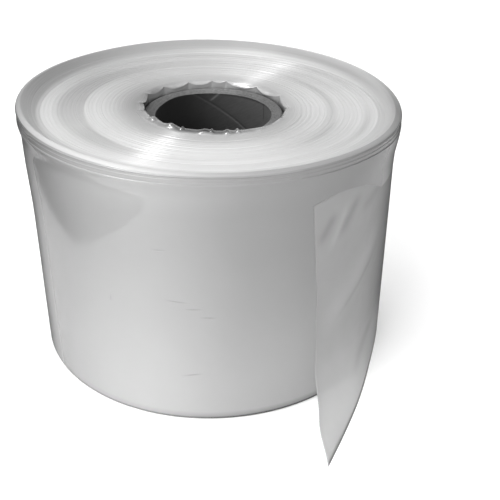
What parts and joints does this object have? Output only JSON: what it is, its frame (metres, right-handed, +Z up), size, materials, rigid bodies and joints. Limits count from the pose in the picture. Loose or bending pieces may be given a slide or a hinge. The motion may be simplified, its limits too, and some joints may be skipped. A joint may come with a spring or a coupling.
{
  "type": "roll of poly tubing",
  "caption": "Upright roll of clear milky lay-flat plastic tubing on a cardboard core, with a dished end face and a loose free end.",
  "frame": {"origin": "centre of the core's bore, on the surface that the roll stands on", "axes": "+Z up along the core's bore, +X to the right and -Y towards the viewer who sees the free end at the right of the front"},
  "size_m": [0.2458, 0.2859, 0.1723],
  "materials": {
    "core": "matte",
    "film": "gloss"
  },
  "bodies": {
    "root": {"core": "core", "film_roll": "film"}
  },
  "joints": []
}
